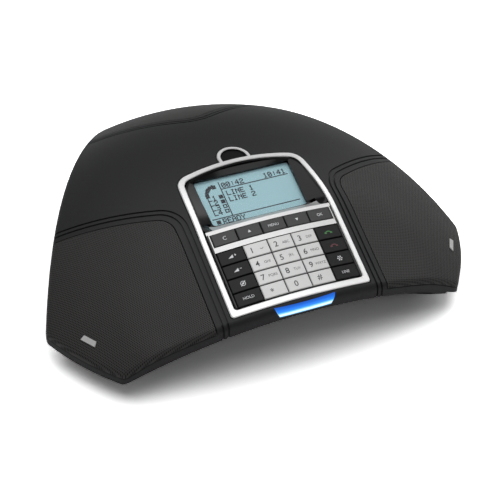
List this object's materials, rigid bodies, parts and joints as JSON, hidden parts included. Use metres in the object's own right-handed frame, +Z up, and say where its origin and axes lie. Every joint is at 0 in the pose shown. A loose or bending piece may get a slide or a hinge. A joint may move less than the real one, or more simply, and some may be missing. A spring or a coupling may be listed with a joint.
{
  "type": "desk ip phone",
  "caption": "Three-armed desk conference phone with a domed case, grilles over the speakers, a sloping keypad and display, and cord sockets in the underside.",
  "frame": {"origin": "on the table plane, at the middle of the footprint's box", "axes": "+Z up; the side with the keypad and display faces -Y; +X to the right of someone facing it; the back arm points along +Y"},
  "size_m": [0.2272, 0.2062, 0.0675],
  "materials": {
    "case_plastic": "fine matt texture",
    "bright_plastic": "satin silver paint",
    "gloss_black": "polished",
    "window": "clear",
    "display": "pale reflective display",
    "rubber": "matt",
    "board": "solder mask",
    "metal_can": "bright",
    "socket_black": "satin",
    "screw": "zinc",
    "grille": "perforated, satin",
    "badge": "satin",
    "speaker_metal": "black",
    "speaker_paper": "paper",
    "lens": "translucent",
    "key_silver": "satin",
    "key_black": "satin",
    "key_graphite": "satin"
  },
  "bodies": {
    "housing": {"top_cover": "case_plastic", "base_cover": "case_plastic", "panel_frame": "bright_plastic", "display_surround": "gloss_black", "display_window": "window", "lcd_module": "display", "key_surround": "bright_plastic", "key_mat": "rubber", "key_board": "board", "main_board": "board", "microphone": "metal_can", "microphone_boot": "rubber", "microphone_mesh": "gloss_black", "network_socket": "socket_black", "accessory_socket": "socket_black", "power_socket": "socket_black", "case_screws": "screw", "board_screws": "screw", "rubber_feet": "rubber", "grille_left": "grille", "badge_left": "badge", "speaker_left": "speaker_metal", "speaker_cone_left": "speaker_paper", "grille_right": "grille", "badge_right": "badge", "speaker_right": "speaker_metal", "speaker_cone_right": "speaker_paper", "grille_back": "grille", "badge_back": "badge", "speaker_back": "speaker_metal", "speaker_cone_back": "speaker_paper", "light_lens_front": "lens"},
    "key_back": {"key_back": "key_graphite"},
    "key_up": {"key_up": "key_graphite"},
    "key_menu": {"key_menu": "key_graphite"},
    "key_down": {"key_down": "key_graphite"},
    "key_ok": {"key_ok": "key_graphite"},
    "key_volume_up": {"key_volume_up": "key_black"},
    "key_1": {"key_1": "key_silver"},
    "key_2": {"key_2": "key_silver"},
    "key_3": {"key_3": "key_silver"},
    "key_call": {"key_call": "key_black"},
    "key_volume_down": {"key_volume_down": "key_black"},
    "key_4": {"key_4": "key_silver"},
    "key_5": {"key_5": "key_silver"},
    "key_6": {"key_6": "key_silver"},
    "key_end": {"key_end": "key_black"},
    "key_mute": {"key_mute": "key_black"},
    "key_7": {"key_7": "key_silver"},
    "key_8": {"key_8": "key_silver"},
    "key_9": {"key_9": "key_silver"},
    "key_conference": {"key_conference": "key_black"},
    "key_hold": {"key_hold": "key_black"},
    "key_star": {"key_star": "key_silver"},
    "key_0": {"key_0": "key_silver"},
    "key_hash": {"key_hash": "key_silver"},
    "key_line": {"key_line": "key_black"}
  },
  "joints": [
    {"name": "press_back", "type": "slide", "parent": "housing", "child": "key_back", "axis": [0, 0.4131, -0.9107], "range_m": [0, 0.0006], "stiffness_N_per_m": 300},
    {"name": "press_up", "type": "slide", "parent": "housing", "child": "key_up", "axis": [0, 0.4131, -0.9107], "range_m": [0, 0.0006], "stiffness_N_per_m": 300},
    {"name": "press_menu", "type": "slide", "parent": "housing", "child": "key_menu", "axis": [0, 0.4131, -0.9107], "range_m": [0, 0.0006], "stiffness_N_per_m": 300},
    {"name": "press_down", "type": "slide", "parent": "housing", "child": "key_down", "axis": [0, 0.4131, -0.9107], "range_m": [0, 0.0006], "stiffness_N_per_m": 300},
    {"name": "press_ok", "type": "slide", "parent": "housing", "child": "key_ok", "axis": [0, 0.4131, -0.9107], "range_m": [0, 0.0006], "stiffness_N_per_m": 300},
    {"name": "press_volume_up", "type": "slide", "parent": "housing", "child": "key_volume_up", "axis": [0, 0.4131, -0.9107], "range_m": [0, 0.0006], "stiffness_N_per_m": 300},
    {"name": "press_1", "type": "slide", "parent": "housing", "child": "key_1", "axis": [0, 0.4131, -0.9107], "range_m": [0, 0.0006], "stiffness_N_per_m": 300},
    {"name": "press_2", "type": "slide", "parent": "housing", "child": "key_2", "axis": [0, 0.4131, -0.9107], "range_m": [0, 0.0006], "stiffness_N_per_m": 300},
    {"name": "press_3", "type": "slide", "parent": "housing", "child": "key_3", "axis": [0, 0.4131, -0.9107], "range_m": [0, 0.0006], "stiffness_N_per_m": 300},
    {"name": "press_call", "type": "slide", "parent": "housing", "child": "key_call", "axis": [0, 0.4131, -0.9107], "range_m": [0, 0.0006], "stiffness_N_per_m": 300},
    {"name": "press_volume_down", "type": "slide", "parent": "housing", "child": "key_volume_down", "axis": [0, 0.4131, -0.9107], "range_m": [0, 0.0006], "stiffness_N_per_m": 300},
    {"name": "press_4", "type": "slide", "parent": "housing", "child": "key_4", "axis": [0, 0.4131, -0.9107], "range_m": [0, 0.0006], "stiffness_N_per_m": 300},
    {"name": "press_5", "type": "slide", "parent": "housing", "child": "key_5", "axis": [0, 0.4131, -0.9107], "range_m": [0, 0.0006], "stiffness_N_per_m": 300},
    {"name": "press_6", "type": "slide", "parent": "housing", "child": "key_6", "axis": [0, 0.4131, -0.9107], "range_m": [0, 0.0006], "stiffness_N_per_m": 300},
    {"name": "press_end", "type": "slide", "parent": "housing", "child": "key_end", "axis": [0, 0.4131, -0.9107], "range_m": [0, 0.0006], "stiffness_N_per_m": 300},
    {"name": "press_mute", "type": "slide", "parent": "housing", "child": "key_mute", "axis": [0, 0.4131, -0.9107], "range_m": [0, 0.0006], "stiffness_N_per_m": 300},
    {"name": "press_7", "type": "slide", "parent": "housing", "child": "key_7", "axis": [0, 0.4131, -0.9107], "range_m": [0, 0.0006], "stiffness_N_per_m": 300},
    {"name": "press_8", "type": "slide", "parent": "housing", "child": "key_8", "axis": [0, 0.4131, -0.9107], "range_m": [0, 0.0006], "stiffness_N_per_m": 300},
    {"name": "press_9", "type": "slide", "parent": "housing", "child": "key_9", "axis": [0, 0.4131, -0.9107], "range_m": [0, 0.0006], "stiffness_N_per_m": 300},
    {"name": "press_conference", "type": "slide", "parent": "housing", "child": "key_conference", "axis": [0, 0.4131, -0.9107], "range_m": [0, 0.0006], "stiffness_N_per_m": 300},
    {"name": "press_hold", "type": "slide", "parent": "housing", "child": "key_hold", "axis": [0, 0.4131, -0.9107], "range_m": [0, 0.0006], "stiffness_N_per_m": 300},
    {"name": "press_star", "type": "slide", "parent": "housing", "child": "key_star", "axis": [0, 0.4131, -0.9107], "range_m": [0, 0.0006], "stiffness_N_per_m": 300},
    {"name": "press_0", "type": "slide", "parent": "housing", "child": "key_0", "axis": [0, 0.4131, -0.9107], "range_m": [0, 0.0006], "stiffness_N_per_m": 300},
    {"name": "press_hash", "type": "slide", "parent": "housing", "child": "key_hash", "axis": [0, 0.4131, -0.9107], "range_m": [0, 0.0006], "stiffness_N_per_m": 300},
    {"name": "press_line", "type": "slide", "parent": "housing", "child": "key_line", "axis": [0, 0.4131, -0.9107], "range_m": [0, 0.0006], "stiffness_N_per_m": 300}
  ]
}
